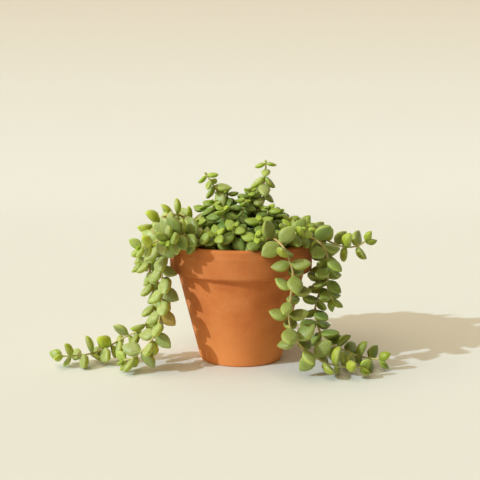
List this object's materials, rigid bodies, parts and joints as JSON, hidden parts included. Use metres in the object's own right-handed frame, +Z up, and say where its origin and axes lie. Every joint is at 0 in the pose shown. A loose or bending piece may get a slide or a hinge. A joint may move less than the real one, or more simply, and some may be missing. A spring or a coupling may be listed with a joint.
{
  "type": "potted cremnophila",
  "caption": "Trailing succulent with fleshy pointed leaves in pairs, spilling from a tapered terracotta pot with a rim band.",
  "frame": {"origin": "middle of the bounding box in plan, at the height of the surface that the pot's foot stands on", "axes": "+Z up; +X to the right of the picture, along the longest extent; -Y towards its viewer"},
  "size_m": [0.2538, 0.1834, 0.151],
  "materials": {
    "terracotta": "unglazed fired clay, matt, with fine turning marks",
    "soil": "moist crumbly peat and bark soil",
    "leaf": "fleshy green leaf with a pale waxy bloom, brighter green at the tips"
  },
  "bodies": {
    "root": {"pot": "terracotta", "soil": "soil", "stem_back_long": "leaf", "stem_back_middle": "leaf", "stem_back_short": "leaf", "stem_crown_01": "leaf", "stem_crown_02": "leaf", "stem_crown_03": "leaf", "stem_crown_04": "leaf", "stem_crown_05": "leaf", "stem_crown_06": "leaf", "stem_crown_07": "leaf", "stem_crown_08": "leaf", "stem_crown_09": "leaf", "stem_crown_10": "leaf", "stem_crown_11": "leaf", "stem_crown_12": "leaf", "stem_crown_13": "leaf", "stem_crown_14": "leaf", "stem_crown_15": "leaf", "stem_crown_16": "leaf", "stem_crown_17": "leaf", "stem_crown_18": "leaf", "stem_crown_19": "leaf", "stem_crown_20": "leaf", "stem_crown_21": "leaf", "stem_crown_22": "leaf", "stem_crown_23": "leaf", "stem_crown_24": "leaf", "stem_crown_25": "leaf", "stem_crown_26": "leaf", "stem_crown_27": "leaf", "stem_crown_28": "leaf", "stem_left_facing": "leaf", "stem_left_front": "leaf", "stem_left_hanging": "leaf", "stem_left_long": "leaf", "stem_left_short": "leaf", "stem_right_facing": "leaf", "stem_right_front": "leaf", "stem_right_hanging": "leaf", "stem_right_level": "leaf", "stem_right_shaded": "leaf", "stem_top_left": "leaf", "stem_top_right": "leaf"}
  },
  "joints": []
}
